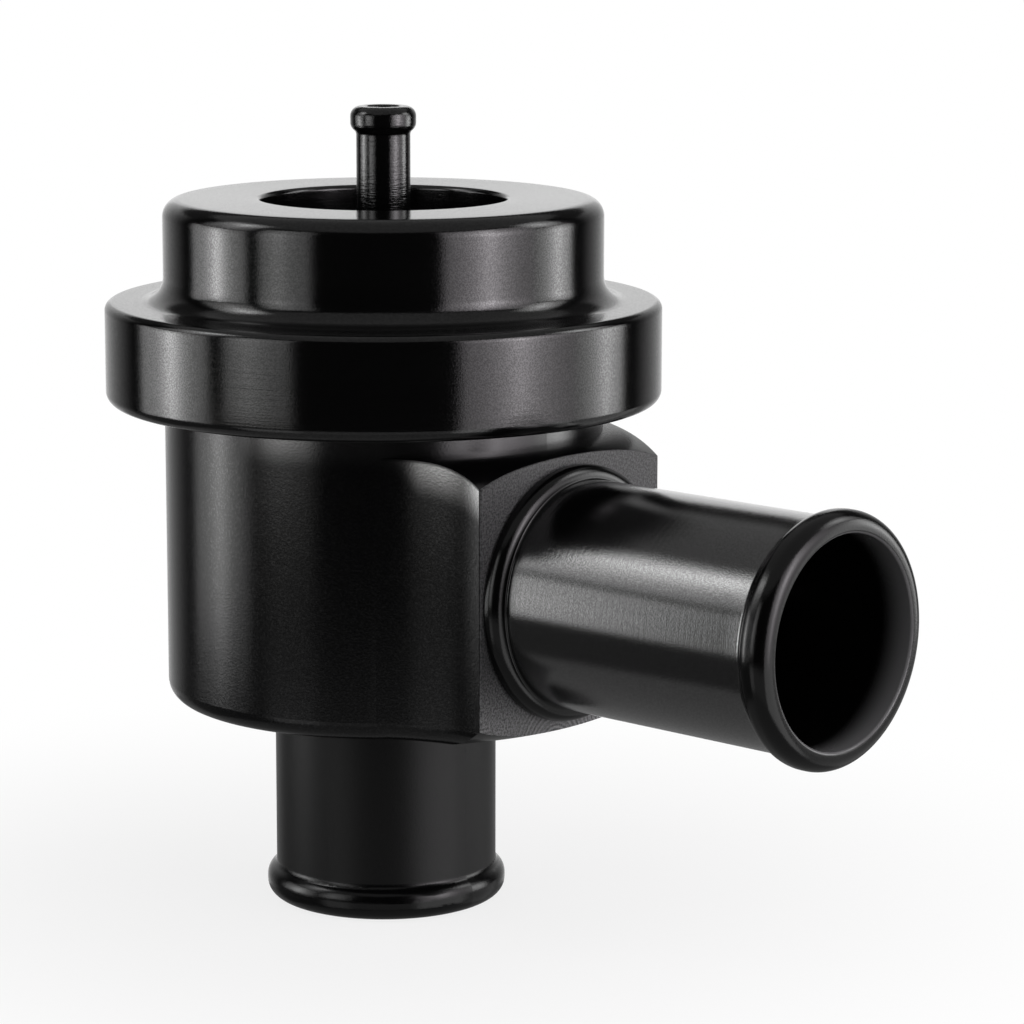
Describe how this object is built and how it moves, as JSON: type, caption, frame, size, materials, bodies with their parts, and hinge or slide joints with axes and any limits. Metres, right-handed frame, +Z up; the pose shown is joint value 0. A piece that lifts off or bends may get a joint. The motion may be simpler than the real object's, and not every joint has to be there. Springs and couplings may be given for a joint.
{
  "type": "blow off valve",
  "caption": "Black turned aluminium blow off valve: round body, inlet tube below, side outlet tube, flanged screw cap with a vacuum nipple, and a sprung piston that lifts off its seat.",
  "frame": {"origin": "on the inlet tube's axis, in the plane of the body's underside, where the inlet hose stops", "axes": "+Z up along the piston's axis towards the vacuum nipple, +X along the outlet tube towards its mouth"},
  "size_m": [0.0964, 0.062, 0.0896],
  "materials": {
    "body_black": "black anodised, satin",
    "turned_black": "black anodised, turned semi-gloss",
    "bare_aluminium": "turned, bare",
    "steel": "bright",
    "rubber": "matte"
  },
  "bodies": {
    "valve_body": {"body": "body_black", "outlet_fitting": "turned_black", "outlet_o_ring": "rubber", "top_cap": "turned_black", "cap_o_ring": "rubber", "vacuum_nipple": "turned_black", "nipple_washer": "bare_aluminium", "preload_shim": "steel", "spring": "steel"},
    "piston": {"piston": "bare_aluminium", "piston_o_ring_lower": "rubber", "piston_o_ring_upper": "rubber", "seat_seal": "rubber", "seal_retainer": "steel", "seal_screw": "steel", "spring_washer": "steel"}
  },
  "joints": [
    {"name": "piston_lift", "type": "slide", "parent": "valve_body", "child": "piston", "axis": [0, 0, 1], "range_m": [0, 0.009], "stiffness_N_per_m": 760, "springref_m": -0.012, "deforming": ["spring"]}
  ]
}
